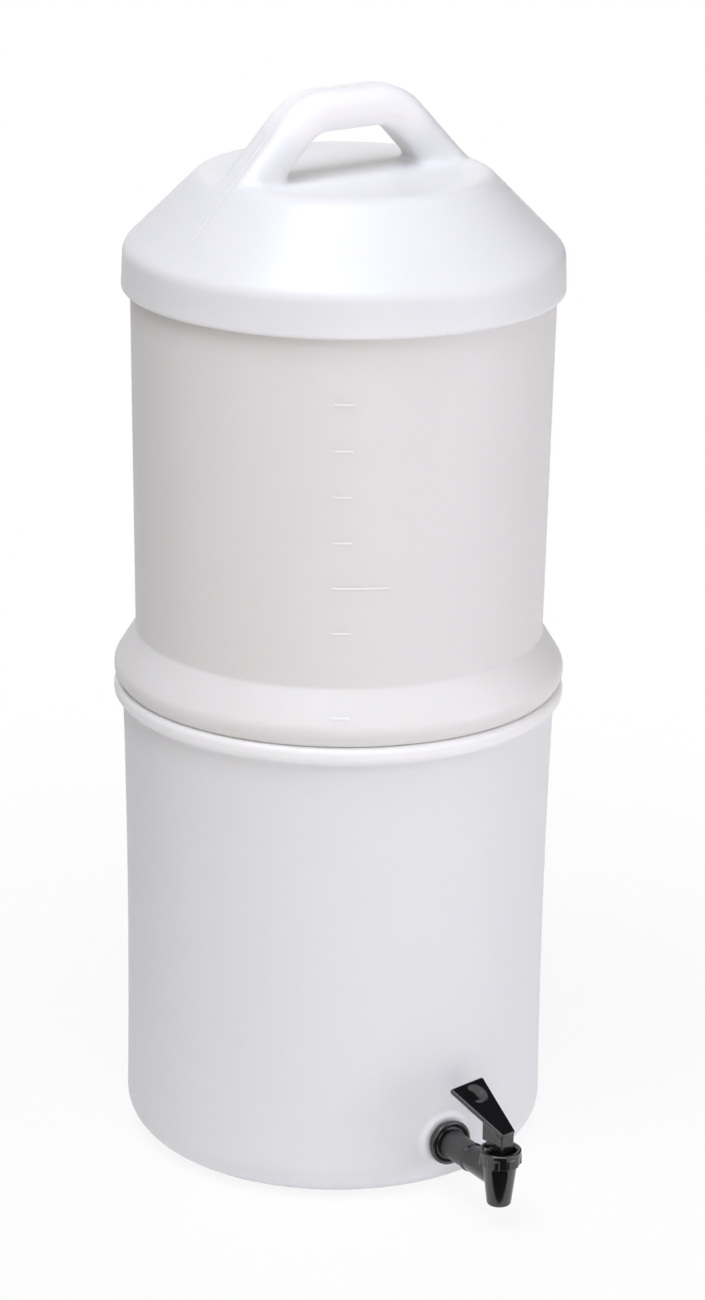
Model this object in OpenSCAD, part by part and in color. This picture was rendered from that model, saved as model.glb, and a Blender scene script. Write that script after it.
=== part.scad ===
// Gravity water filter: two stacked tanks, a lid with a grip, ceramic candles and a push-lever tap.
// The origin is the centre of the base on the tanks' axis, +Z is up and the tap points to -Y.

/* [Tanks] */
// Outside radius of the lower tank's wall just above its round foot
base_r = 127.4; // [125:0.2:129]
// Height of the lower tank's rim above the floor
lower_h = 288.8; // [280:0.2:300]
// Height of the upper tank's rim above the floor
upper_h = 551.5; // [545:0.5:560]
// Thickness of the moulded walls
wall = 3; // [2.4:0.2:3.2]
// Radius of the lower tank's round foot
foot_round = 25; // [22:1:27]
// Outside radius of the collar that hides the upper tank's seat
collar_r = 134.7; // [133:0.1:136]

/* [Lid] */
// Outside radius of the lid's skirt at its top
lid_r = 129.2; // [129:0.1:130.4]
// Radius of the flat plateau that carries the grip
plateau_r = 84.8; // [80:0.2:90]
// Height of the grip's top above the plateau
grip_rise = 48.6; // [46:0.2:54]
// Thickness of the grip's bar seen from the front
grip_t = 23.4; // [22:0.2:27]
// Width of the grip's bar seen from above
grip_w = 28.4; // [25:0.2:31]
// Turn of the grip from the X axis, in degrees
grip_turn = 5.4; // [0:0.2:90]

/* [Candles] */
// Outside diameter of a ceramic candle
candle_d = 50; // [44:1:54]
// Height of a ceramic candle above its base cap
candle_h = 178; // [150:1:200]
// Distance of each candle from the tanks' axis
candle_ring = 60; // [58:1:64]

/* [Tap] */
// Height of the tap's shank above the floor
tap_z = 33.5; // [33:0.5:35]
// Distance from the tanks' axis to the tap's upright barrel
tap_reach = 185.5; // [180:0.5:195]
// Turn of the lever and bonnet about the barrel, in degrees
lever_turn = 12; // [0:1:15]
// Slope of the lever's thumb plate at rest, in degrees
plate_slope = 30; // [24:1:34]

/* [Hidden] */
$fn = 96;

// Small gaps between pieces
seat_gap = 0.2;
fit_gap = 0.05;
press_gap = 0.02;

// Lower tank
rim_r = 134.8;
rim_t = 7.6;
wall_r_top = base_r + 2.3;
wall_bow = 1.4;
mouth_r = wall_r_top - wall + 0.3;
foot_inside = 19;
boss_r = 18.6;
boss_face = base_r + 1.2;
boss_back = base_r - wall - 1.8;

// Upper tank
spigot_r = mouth_r - 1;
spigot_h = 17;
seat_z = lower_h + seat_gap;
floor_z = seat_z - spigot_h;
floor_top = floor_z + wall;
shell_r_low = 121.9;
shell_r_top = 125;
shoulder_z = seat_z + 12;
shoulder_top = seat_z + 32.4;
flank_tan = tan(atan2(collar_r - shell_r_low, shoulder_top - shoulder_z) / 2);
lip_r = 126.2;
lip_h = 7.5;
tick_turn = -124.1;
tick_top = upper_h - 62;
tick_step = 27;
tick_count = 6;
tick_length = 11.5;
long_tick = 4;
long_tick_length = 34;
tick_depth = 1.6;
tick_half = 0.7;
collar_tick_z = shoulder_z + 5.6;

// Lid
skirt_z = upper_h - 23.5;
skirt_top = upper_h + 1.7;
lid_edge_r = lid_r + 1;
cone_rise = lid_r - plateau_r;
plateau_z = skirt_top + cone_rise;
plateau_dish = 1.2;
dish_r = plateau_r - 18;
grip_top = plateau_z + grip_rise;
grip_bend = 31;
grip_line = grip_top - grip_t / 2;
leg_sum = lid_r + skirt_top - 0.6 - grip_t / 2 * sqrt(2);
bend_u = leg_sum - grip_line - grip_bend * tan(22.5);
leg_length = 62;
cavity_over = 8;
bend_over = 0.4;
bend_swell = 0.03;
grip_corner = 9.5;

// Candles, measured from the upper tank's floor
candle_turns = [90, 210, 330];
seal_t = 2.5;
cap_z = floor_top + seal_t + 0.1;
cap_r = candle_d / 2 + 1.5;
cap_floor = 4.4;
cap_lip = 13.4;
stem_r = 6;
stem_bore_r = 2.6;
stem_low = 22;
ceramic_z = cap_z + cap_floor + 0.1;
ceramic_wall = 9;
nut_r = 10;
nut_h = 10.5;
wing_reach = 19;
wing_t = 3.6;
nut_washer_t = 2.4;
nut_z = floor_z - nut_washer_t - 0.2 - nut_h;

// Tap, along the shank: distances from the tanks' axis
thread_r = 8;
thread_end = boss_back - 13.6;
washer_t = 2.3;
washer_r = 12.2;
flange_back = boss_face + washer_t + 0.1;
flange_r = 13.7;
flange_t = 3.5;
collar_step = 155;
shank_bore_r = 4.5;

// Tap, up the barrel
spout_z = tap_z - 17.5;
spout_r = 7.1;
barrel_top = tap_z + 8.5;
barrel_r = 10.25;
seat_ring_z = spout_z + 10;
chamber_z = seat_ring_z + 2;
neck_top = barrel_top + 1.4;
cup_flange_t = 0.8;
bonnet_floor = neck_top + cup_flange_t + 0.1;
bonnet_floor_t = 1.2;
bonnet_low = barrel_top + 0.2;
bonnet_top = barrel_top + 9.2;
bonnet_r = 12;
grip_pad_r = 12.7;
grip_pads = 6;
bowl_r = 9.5;
guide_r = 2.05;

// Lever, in its own plane: s runs outward from the barrel's axis
pivot_s = -5;
pivot_z = bonnet_floor + bonnet_floor_t + 3.7;
pivot_pin_r = 1.5;
lift_pin_r = 1.3;
hub_r = 3;
cheek = 4.6;
slot_half = 2.4;
trunk_half = 5.2;
trunk_back = -10.2;
trunk_front = 6.2;
trunk_low = bonnet_top + 3.8;
neck_low = bonnet_top - 0.9;
plate_len = 41;
plate_t = 3.7;
plate_far_half = 13.4;
plate_near_half = 5.3;
plate_near_s = 7;
plate_near_z = trunk_low + 7.9;
dimple_r = 14;
dimple_from_end = 9;
dimple_deep = 1.7;
stem_rod_r = 2;
tongue_half = 2.9;
tongue_t = 2.2;

// ---- Outlines ----

function unit2(v) = v / norm(v);

// Points of one rounded corner: the arc of radius r that touches both edges at corner b.
function corner_arc(a, b, c, r, n) =
    let (u = unit2(a - b), v = unit2(c - b), half = acos(u * v) / 2,
         m = b + unit2(u + v) * r / sin(half),
         p = b + u * r / tan(half) - m, q = b + v * r / tan(half) - m,
         a0 = atan2(p[1], p[0]), turn = atan2(p[0] * q[1] - p[1] * q[0], p * q))
    [for (i = [0:n]) m + r * [cos(a0 + turn * i / n), sin(a0 + turn * i / n)]];

// An outline from corners [x, y, radius]: a radius of 0 keeps the corner sharp.
function rounded(pts, n = 6) =
    let (k = len(pts))
    [for (i = [0:k - 1])
        let (a = pts[(i + k - 1) % k], b = pts[i], c = pts[(i + 1) % k])
        each b[2] > 0
            ? corner_arc([a[0], a[1]], [b[0], b[1]], [c[0], c[1]], b[2], n)
            : [[b[0], b[1]]]];

module turned(corners, n = 6) {
    rotate_extrude($fn = 128) polygon(rounded(corners, n));
}

module ring(r_out, r_in, h) {
    difference() {
        cylinder(r = r_out, h = h);
        translate([0, 0, -1]) cylinder(r = r_in, h = h + 2);
    }
}

// Radius of the lower tank's bowed wall at height z.
function wall_r(z) =
    let (t = (z - foot_round) / (lower_h - rim_t - foot_round))
    base_r + (wall_r_top - base_r) * t - wall_bow * 4 * t * (1 - t);

function wall_heights() = [for (i = [0:8]) foot_round + 4 + (lower_h - rim_t - foot_round - 5) * i / 8];

// ---- Lower tank ----

function lower_tank_outline() = concat(
    [[0, 0, 0], [base_r, 0, foot_round]],
    [for (z = wall_heights()) [wall_r(z), z, 0]],
    [[rim_r, lower_h - rim_t + 0.6, 2.4], [rim_r, lower_h, 3.2], [mouth_r, lower_h, 1.2]],
    [for (i = [8:-1:0]) let (z = wall_heights()[i]) [wall_r(z) - wall, z, 0]],
    [[base_r - wall, wall, foot_inside], [0, wall, 0]]);

module lower_tank() {
    color([0.90, 0.91, 0.93])
    difference() {
        union() {
            turned(lower_tank_outline(), 8);
            translate([0, -boss_back, tap_z]) rotate([90, 0, 0])
                cylinder(r = boss_r, h = boss_face - boss_back);
        }
        translate([0, -boss_back + 6, tap_z]) rotate([90, 0, 0])
            cylinder(r = thread_r + 0.3, h = 24);
    }
}

// ---- Upper tank ----

function upper_tank_outline() = [
    [0, floor_z, 0], [spigot_r, floor_z, 2], [spigot_r, seat_z, 0],
    [collar_r - 3.7, seat_z, 1.5], [collar_r, seat_z + 5.7, 10], [collar_r, shoulder_z, 10],
    [shell_r_low, shoulder_top, 3], [shell_r_top, upper_h - lip_h, 0],
    [lip_r, upper_h - lip_h + 1.5, 0], [lip_r, upper_h, 1.6], [shell_r_top - wall, upper_h, 1],
    [shell_r_low - wall, shoulder_top - wall * flank_tan, 3],
    [collar_r - wall, shoulder_z - wall * flank_tan, 8], [collar_r - wall, seat_z + wall, 4],
    [spigot_r - wall, seat_z + wall, 1], [spigot_r - wall, floor_top, 4], [0, floor_top, 0],
];

// A raised line on a wall of radius r at height z that leans in by "lean" degrees: it starts at
// tick_turn and runs round to the right.
module level_tick(r, z, length, lean) {
    rotate([0, 0, tick_turn]) rotate_extrude(angle = length / r * 180 / PI)
        translate([r, z]) rotate(lean) translate([0.5 - tick_depth, -tick_half])
            square([tick_depth, 2 * tick_half]);
}

module level_ticks() {
    rise = shoulder_top - shoulder_z;
    flank = collar_r - shell_r_low;
    for (i = [0:tick_count - 1]) let (z = tick_top - tick_step * i, share = (z - shoulder_top)
        / (upper_h - lip_h - shoulder_top))
        level_tick(shell_r_low + (shell_r_top - shell_r_low) * share, z,
            i == long_tick ? long_tick_length : tick_length, 0);
    level_tick(collar_r - (collar_tick_z - shoulder_z) / rise * flank, collar_tick_z, tick_length,
        atan2(flank, rise));
}

module at_candle(i) {
    rotate([0, 0, candle_turns[i]]) translate([candle_ring, 0, 0]) children();
}

module upper_tank() {
    color([0.88, 0.88, 0.88])
    difference() {
        union() {
            turned(upper_tank_outline());
            level_ticks();
        }
        for (i = [0:2]) at_candle(i) translate([0, 0, floor_z - 1]) cylinder(r = stem_r + 0.4, h = wall + 2);
    }
}

// ---- Lid ----

function lid_outside() = [
    [0, skirt_z, 0], [lid_edge_r, skirt_z, 2.6], [lid_r, skirt_top, 10],
    [plateau_r, plateau_z, 12], [dish_r, plateau_z - plateau_dish, 0], [0, plateau_z - plateau_dish, 0],
];

function lid_inside() = [
    [0, skirt_z - 1, 0], [lid_edge_r - wall, skirt_z - 1, 0],
    [lid_r - wall, skirt_top - wall * tan(22.5), 7],
    [plateau_r - wall * tan(22.5), plateau_z - wall, 9],
    [dish_r, plateau_z - plateau_dish - wall, 0], [0, plateau_z - plateau_dish - wall, 0],
];

function grip_section(inset) =
    let (x = grip_t / 2 - inset, y = grip_w / 2 - inset, r = grip_corner - inset)
    [[x, y, r], [-x, y, r], [-x, -y, r], [x, -y, r]];

module grip_bar(inset, h) {
    linear_extrude(h) polygon(rounded(grip_section(inset), 5));
}

module grip_side(side) {
    mirror([side, 0, 0]) translate([bend_u, 0, grip_line - grip_bend]) children();
}

// One straight leg: it starts "over" before the end of its bend and runs down along the cone's slope.
module grip_leg(side, inset, over) {
    grip_side(side) rotate([0, 45, 0]) translate([-over, 0, grip_bend]) rotate([0, 90, 0])
        grip_bar(inset, leg_length + over);
}

// The grip: the bar, two 45 degree bends and two legs. The bends are a hair stouter than the straights,
// which run a little way into them.
module grip_outside() {
    translate([-bend_u - bend_over, 0, grip_line]) rotate([0, 90, 0])
        grip_bar(0, 2 * (bend_u + bend_over));
    for (side = [0, 1]) {
        grip_leg(side, 0, bend_over);
        grip_side(side) rotate([90, 0, 0]) rotate([0, 0, 45]) rotate_extrude(angle = 45, $fn = 96)
            translate([grip_bend, 0]) polygon(rounded(grip_section(-bend_swell), 5));
    }
}

module lid() {
    color([0.93, 0.93, 0.95])
    difference() {
        union() {
            turned(lid_outside(), 8);
            rotate([0, 0, grip_turn]) grip_outside();
        }
        turned(lid_inside(), 8);
        rotate([0, 0, grip_turn]) for (side = [0, 1]) grip_leg(side, wall, cavity_over);
    }
}

// ---- Candles ----

module candle_ceramic(i) {
    r = candle_d / 2;
    color([0.96, 0.95, 0.92]) at_candle(i) turned([
        [r - ceramic_wall, ceramic_z, 0], [r, ceramic_z, 1], [r, ceramic_z + candle_h, r - 0.5],
        [0, ceramic_z + candle_h, 0], [0, ceramic_z + candle_h - ceramic_wall, 0],
        [r - ceramic_wall, ceramic_z + candle_h - ceramic_wall, r - ceramic_wall - 0.5],
    ], 10);
}

module candle_base(i) {
    r = candle_d / 2;
    color([0.85, 0.87, 0.90]) at_candle(i) turned([
        [stem_bore_r, cap_z - stem_low, 0], [stem_r, cap_z - stem_low, 1], [stem_r, cap_z, 0],
        [cap_r, cap_z, 2], [cap_r, cap_z + cap_lip, 0.6], [r + 0.2, cap_z + cap_lip, 0],
        [r + 0.2, cap_z + cap_floor, 0], [r - ceramic_wall - 0.4, cap_z + cap_floor, 0],
        [r - ceramic_wall - 0.4, cap_z + cap_lip, 1], [stem_bore_r, cap_z + cap_lip, 0],
    ]);
}

module candle_seal(i) {
    color([0.15, 0.30, 0.55]) at_candle(i) translate([0, 0, floor_top + 0.05])
        ring(stem_r + 10, stem_r + 0.1, seal_t);
}

module candle_1_ceramic() { candle_ceramic(0); }
module candle_2_ceramic() { candle_ceramic(1); }
module candle_3_ceramic() { candle_ceramic(2); }
module candle_1_base() { candle_base(0); }
module candle_2_base() { candle_base(1); }
module candle_3_base() { candle_base(2); }
module candle_1_seal() { candle_seal(0); }
module candle_2_seal() { candle_seal(1); }
module candle_3_seal() { candle_seal(2); }

module candle_nut_washers() {
    color([0.15, 0.30, 0.55])
    for (i = [0:2]) at_candle(i) translate([0, 0, floor_z - nut_washer_t - 0.1])
        ring(stem_r + 7, stem_r + 0.3, nut_washer_t);
}

module candle_wing_nuts() {
    color([0.85, 0.87, 0.90])
    for (i = [0:2]) at_candle(i) translate([0, 0, nut_z]) difference() {
        union() {
            cylinder(r = nut_r, h = nut_h);
            rotate([90, 0, 0]) linear_extrude(wing_t, center = true) polygon(rounded([
                [-wing_reach, 0, 4], [wing_reach, 0, 4], [wing_reach, nut_h - 1, 3], [nut_r - 2, nut_h - 3, 0],
                [-nut_r + 2, nut_h - 3, 0], [-wing_reach, nut_h - 1, 3],
            ]));
        }
        translate([0, 0, -1]) cylinder(r = stem_r + press_gap, h = nut_h + 2);
    }
}

// ---- Tap ----

// Turns a shape from the upright axis on to the shank's axis, outward from the tanks' axis.
module on_shank() { translate([0, 0, tap_z]) rotate([90, 0, 0]) children(); }

module at_barrel() { translate([0, -tap_reach, 0]) children(); }

// The lever's plane: children are drawn with s outward along -Y and turned with the bonnet.
module at_lever() { at_barrel() rotate([0, 0, lever_turn]) children(); }

// A plate of thickness 2 * half across the lever's plane, from an outline in [s, z].
module across(half) {
    rotate([90, 0, -90]) translate([0, 0, -half]) linear_extrude(2 * half) children();
}

module cross_pin(s, z, r, half) {
    translate([-half, -s, z]) rotate([0, 90, 0]) cylinder(r = r, h = 2 * half);
}

module tap_body() {
    color([0.13, 0.13, 0.14])
    difference() {
        union() {
            on_shank() turned([
                [0, thread_end, 0], [thread_r, thread_end, 1], [thread_r, flange_back, 0],
                [flange_r, flange_back, 0.8], [flange_r, flange_back + flange_t, 1],
                [flange_r - 1.5, flange_back + flange_t, 0.6], [9.6, flange_back + 1.8, 0.6],
                [8.75, flange_back + 2.6, 0], [8.2, collar_step - 0.6, 0], [8.9, collar_step + 0.4, 0.3],
                [8.9, collar_step + 1.8, 0.6], [8.1, collar_step + 3.2, 0], [8.1, tap_reach - 4, 0],
                [0, tap_reach - 4, 0],
            ], 4);
            at_barrel() turned([
                [0, spout_z, 0], [spout_r, spout_z, 1.4], [barrel_r, barrel_top, 0],
                [9.4, barrel_top, 0], [9.4, neck_top, 0.3], [0, neck_top, 0],
            ], 4);
        }
        on_shank() translate([0, 0, thread_end - 1]) cylinder(r = shank_bore_r, h = tap_reach - thread_end);
        at_barrel() turned([
            [0, spout_z - 1, 0], [5.7, spout_z - 1, 0], [5.4, spout_z + 2, 0], [4.9, seat_ring_z, 0],
            [4.3, seat_ring_z, 0], [4.3, chamber_z, 0], [6.9, chamber_z, 0.6], [8.2, neck_top + 1, 0],
            [0, neck_top + 1, 0],
        ], 4);
    }
}

module tap_outer_washer() {
    color([0.08, 0.08, 0.08]) on_shank() translate([0, 0, boss_face + 0.05])
        ring(washer_r, thread_r + 0.1, washer_t);
}

module tap_inner_washer() {
    color([0.08, 0.08, 0.08]) on_shank() translate([0, 0, boss_back - washer_t - 0.05])
        ring(washer_r, thread_r + 0.1, washer_t);
}

module tap_lock_nut() {
    color([0.13, 0.13, 0.14]) on_shank() translate([0, 0, boss_back - washer_t - 7.1]) difference() {
        cylinder(r = 14, h = 7, $fn = 6);
        translate([0, 0, -1]) cylinder(r = thread_r + press_gap, h = 9);
    }
}

module tap_bonnet() {
    bowl_floor = bonnet_floor + bonnet_floor_t;
    color([0.13, 0.13, 0.14]) at_lever() difference() {
        union() {
            difference() {
                union() {
                    turned([
                        [0, bonnet_low, 0], [bonnet_r, bonnet_low, 0.5], [bonnet_r + 0.6, bonnet_top, 0.7],
                        [0, bonnet_top, 0],
                    ], 4);
                    for (i = [0:grip_pads - 1]) rotate([0, 0, i * 360 / grip_pads + 8])
                        rotate_extrude(angle = 34) polygon([
                            [bonnet_r - 1, bonnet_low], [grip_pad_r, bonnet_low],
                            [grip_pad_r, bonnet_low + 5.4], [bonnet_r - 1, bonnet_low + 6.4],
                        ]);
                }
                turned([
                    [0, bonnet_low - 1, 0], [9.6, bonnet_low - 1, 0], [9.6, bonnet_floor, 0],
                    [0, bonnet_floor, 0],
                ]);
                turned([
                    [0, bowl_floor, 0], [bowl_r, bowl_floor, 0.8], [bowl_r, bonnet_top - 1.2, 0],
                    [bowl_r + 0.9, bonnet_top + 0.1, 0], [0, bonnet_top + 0.1, 0],
                ], 4);
            }
            for (side = [0, 1]) mirror([side, 0, 0]) intersection() {
                translate([cheek + 0.3, -pivot_s - 3.4, bowl_floor - 0.2])
                    cube([bowl_r, 6.8, bonnet_top - bowl_floor + 0.2]);
                cylinder(r = bowl_r + 0.3, h = bonnet_top);
            }
        }
        translate([0, 0, bonnet_floor - 1]) cylinder(r = guide_r, h = bonnet_floor_t + 2);
        cross_pin(pivot_s, pivot_z, pivot_pin_r + press_gap, 7.7);
    }
}

module thumb_plate() {
    far = -plate_len;
    translate([0, -plate_near_s, plate_near_z]) rotate([plate_slope, 0, 0]) difference() {
        translate([0, 0, -plate_t]) linear_extrude(plate_t) polygon(rounded([
            [-plate_near_half, 0, 0.6], [plate_near_half, 0, 0.6],
            [plate_far_half, -far, 1.2], [-plate_far_half, -far, 1.2],
        ]));
        translate([0, -far - dimple_from_end, dimple_r - dimple_deep]) sphere(r = dimple_r);
    }
}

module tap_lever() {
    slope = tan(plate_slope);
    back_z = plate_near_z + (plate_near_s - trunk_back) * slope - 3;
    front_z = plate_near_z + (plate_near_s - trunk_front) * slope - 3;
    color([0.13, 0.13, 0.14]) at_lever() difference() {
        union() {
            thumb_plate();
            across(trunk_half) polygon([
                [trunk_back, trunk_low + 0.8], [trunk_back + 0.8, trunk_low], [0.8, trunk_low],
                [1.8, neck_low], [trunk_front - 0.8, neck_low], [trunk_front, neck_low + 0.8],
                [trunk_front, front_z], [trunk_back, back_z],
            ]);
            across(cheek) polygon(rounded([
                [pivot_s - hub_r + 1, trunk_low + 1, 0], [pivot_s - hub_r + 1, pivot_z, 0],
                [pivot_s - hub_r, pivot_z, 0], [pivot_s - hub_r, pivot_z - hub_r, hub_r - 0.01],
                [trunk_front - 1.6, pivot_z - hub_r, 2.4], [trunk_front - 0.2, trunk_low - 3, 0],
                [trunk_front - 0.2, trunk_low + 1, 0],
            ]));
        }
        across(slot_half) polygon([
            [pivot_s - hub_r - 1, pivot_z - hub_r - 1], [trunk_front - 1.8, pivot_z - hub_r - 1],
            [trunk_front - 1.8, pivot_z + 4.4], [-3.9, pivot_z + 4.4], [-3.9, pivot_z + 2.4],
            [pivot_s - hub_r - 1, pivot_z + 2.4],
        ]);
        cross_pin(pivot_s, pivot_z, pivot_pin_r + fit_gap, cheek + 1);
        cross_pin(0, pivot_z, lift_pin_r + press_gap, cheek + 1);
    }
}

module lever_pivot_pin() {
    color("silver") at_lever() cross_pin(pivot_s, pivot_z, pivot_pin_r, 7.6);
}

module lever_lift_pin() {
    color("silver") at_lever() cross_pin(0, pivot_z, lift_pin_r, cheek - 0.1);
}

module valve_stem() {
    barb_z = chamber_z + 3;
    tongue_low = bonnet_floor + bonnet_floor_t + 0.8;
    color([0.80, 0.80, 0.78]) at_lever() difference() {
        union() {
            turned([
                [0, barb_z - 0.2, 0], [1.6, barb_z - 0.2, 0], [2.75, barb_z + 0.9, 0],
                [2.75, barb_z + 1.7, 0], [stem_rod_r, barb_z + 1.9, 0], [stem_rod_r, tongue_low + 0.2, 0],
                [0, tongue_low + 0.2, 0],
            ]);
            across(tongue_t) polygon([
                [-tongue_half, tongue_low], [tongue_half, tongue_low],
                [tongue_half, pivot_z + 0.5], [-tongue_half, pivot_z + 0.5],
            ]);
            cross_pin(0, pivot_z + 0.5, tongue_half, tongue_t);
        }
        across(tongue_t + 1) polygon(rounded([
            [-1.95, pivot_z - lift_pin_r - 0.12, 1.3], [1.45, pivot_z - lift_pin_r - 0.12, 1.3],
            [1.45, pivot_z + lift_pin_r + 0.12, 1.3], [-1.95, pivot_z + lift_pin_r + 0.12, 1.3],
        ]));
    }
}

module valve_seat_cup() {
    low = chamber_z + 0.1;
    barb_z = chamber_z + 3;
    top = neck_top + cup_flange_t;
    color([0.75, 0.75, 0.72]) at_barrel() turned([
        [0, low, 0], [3.6, low, 0], [4.9, low + 1.2, 0.4], [4.9, low + 6.5, 0.8], [3.6, low + 9.6, 0.6],
        [7.6, neck_top - 0.6, 0.4], [7.6, neck_top + 0.05, 0], [9.2, neck_top + 0.05, 0], [9.2, top, 0],
        [6.9, top, 0.3], [2.4, low + 10.4, 0.4], [stem_rod_r + press_gap, low + 9.8, 0],
        [stem_rod_r + press_gap, barb_z + 2, 0], [2.8, barb_z + 1.8, 0], [2.8, barb_z + 0.85, 0],
        [1.65, barb_z - 0.3, 0], [0, barb_z - 0.3, 0],
    ], 4);
}

lid();
upper_tank();
candle_1_ceramic();
candle_1_base();
candle_1_seal();
candle_2_ceramic();
candle_2_base();
candle_2_seal();
candle_3_ceramic();
candle_3_base();
candle_3_seal();
candle_nut_washers();
candle_wing_nuts();
lower_tank();
tap_body();
tap_outer_washer();
tap_inner_washer();
tap_lock_nut();
tap_bonnet();
tap_lever();
lever_pivot_pin();
lever_lift_pin();
valve_stem();
valve_seat_cup();
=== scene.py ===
# %% [markdown]
# # A gravity water filter
# Two white plastic tanks stand on each other. Water poured in at the top runs through ceramic candles
# into the lower tank, and a black push-lever tap at its foot lets it out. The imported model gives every
# piece its place, and each piece here is built around it at real size. Shapes are worked out in
# millimetres and turned into metres where they become meshes.

import bpy
import numpy as np
from mathutils import Matrix, Vector


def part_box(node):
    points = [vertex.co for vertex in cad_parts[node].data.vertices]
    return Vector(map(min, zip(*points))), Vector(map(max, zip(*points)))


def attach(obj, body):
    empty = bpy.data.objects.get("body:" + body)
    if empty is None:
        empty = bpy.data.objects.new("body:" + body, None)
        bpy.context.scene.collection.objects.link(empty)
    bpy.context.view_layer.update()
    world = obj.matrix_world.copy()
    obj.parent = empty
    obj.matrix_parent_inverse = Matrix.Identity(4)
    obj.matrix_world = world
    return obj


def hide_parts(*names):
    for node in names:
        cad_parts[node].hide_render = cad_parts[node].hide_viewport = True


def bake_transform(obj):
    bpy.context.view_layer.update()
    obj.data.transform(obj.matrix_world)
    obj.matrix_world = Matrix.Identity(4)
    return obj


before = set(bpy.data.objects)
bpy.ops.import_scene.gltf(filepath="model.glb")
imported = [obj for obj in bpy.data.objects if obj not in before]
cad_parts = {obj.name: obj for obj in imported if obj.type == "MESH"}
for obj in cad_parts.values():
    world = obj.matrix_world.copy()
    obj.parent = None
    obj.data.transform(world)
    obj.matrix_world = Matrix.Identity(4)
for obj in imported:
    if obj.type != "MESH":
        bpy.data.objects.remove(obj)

scene = bpy.context.scene
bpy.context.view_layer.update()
MM = 0.001


def cad_mm(node):
    """The lowest and highest corner of a CAD node in millimetres."""
    low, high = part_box(node)
    return np.array(low) / MM, np.array(high) / MM


lid_low, lid_high = cad_mm("lid")
upper_low, upper_high = cad_mm("upper_tank")
_, lower_high = cad_mm("lower_tank")
tap_low, _ = cad_mm("tap_body")
print("height in mm:", round(lid_high[2], 1), " width:", round(2 * lower_high[0], 1))

# %% [markdown]
# ## The camera
# The picture was taken from a little above the lid, with a long lens. A pinhole camera was fitted to the
# round outlines, and these are its values: how far it stands from the tanks' axis, how high, and how it
# is tilted. The object is turned under it, so the tap points to the right of the picture.

# %% Camera
IMAGE_W, IMAGE_H = 705, 1300
FOCAL_PIXELS = 4121.8
CAMERA_DISTANCE = 2.3506
CAMERA_HEIGHT = 1.0865
CAMERA_PITCH = 0.3212
CAMERA_YAW = -0.0035
CAMERA_ROLL = 0.0148
OBJECT_TURN = np.radians(-32)


def camera_axes():
    """Right, up and forward of the camera: level axes are pitched down, rolled, and turned about Z."""
    level_right = Vector((np.cos(CAMERA_YAW), np.sin(CAMERA_YAW), 0))
    level_forward = Vector((-np.sin(CAMERA_YAW), np.cos(CAMERA_YAW), 0))
    forward = level_forward * np.cos(CAMERA_PITCH) - Vector((0, 0, 1)) * np.sin(CAMERA_PITCH)
    level_up = level_forward * np.sin(CAMERA_PITCH) + Vector((0, 0, 1)) * np.cos(CAMERA_PITCH)
    right = level_right * np.cos(CAMERA_ROLL) + level_up * np.sin(CAMERA_ROLL)
    up = level_up * np.cos(CAMERA_ROLL) - level_right * np.sin(CAMERA_ROLL)
    turn = Matrix.Rotation(OBJECT_TURN, 3, "Z")
    return turn @ right, turn @ up, turn @ forward, turn @ Vector((0, -CAMERA_DISTANCE, CAMERA_HEIGHT))


cam_right, cam_up, cam_forward, cam_place = camera_axes()
lens = bpy.data.cameras.new("camera")
lens.sensor_fit = "VERTICAL"
lens.sensor_height = 36
lens.lens = FOCAL_PIXELS / IMAGE_H * lens.sensor_height
lens.clip_end = 50
camera = bpy.data.objects.new("camera", lens)
rotation = Matrix((cam_right, cam_up, -cam_forward)).transposed()
camera.matrix_world = Matrix.Translation(cam_place) @ rotation.to_4x4()
scene.collection.objects.link(camera)
scene.camera = camera
print("lens in mm:", round(lens.lens, 1), " frame:", IMAGE_W, "x", IMAGE_H)

# %% [markdown]
# ## Writing materials as sums
# A material is a tree of nodes, and long trees are hard to read. Here a wire stands for one output in
# the tree, and an expression such as 0.4 + 0.1 * grain adds the Math nodes that work it out.

# %% Material helpers


class Wire:
    """One output in a material's tree. Sums, differences and products of wires add Math nodes."""

    def __init__(self, finish, socket):
        self.finish, self.socket = finish, socket

    def math(self, operation, *terms):
        return self.finish.node("ShaderNodeMath", {"operation": operation}, terms)

    def __add__(self, other):
        return self.math("ADD", self, other)

    def __radd__(self, other):
        return self.math("ADD", other, self)

    def __sub__(self, other):
        return self.math("SUBTRACT", self, other)

    def __rsub__(self, other):
        return self.math("SUBTRACT", other, self)

    def __mul__(self, other):
        return self.math("MULTIPLY", self, other)

    def __rmul__(self, other):
        return self.math("MULTIPLY", other, self)


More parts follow.
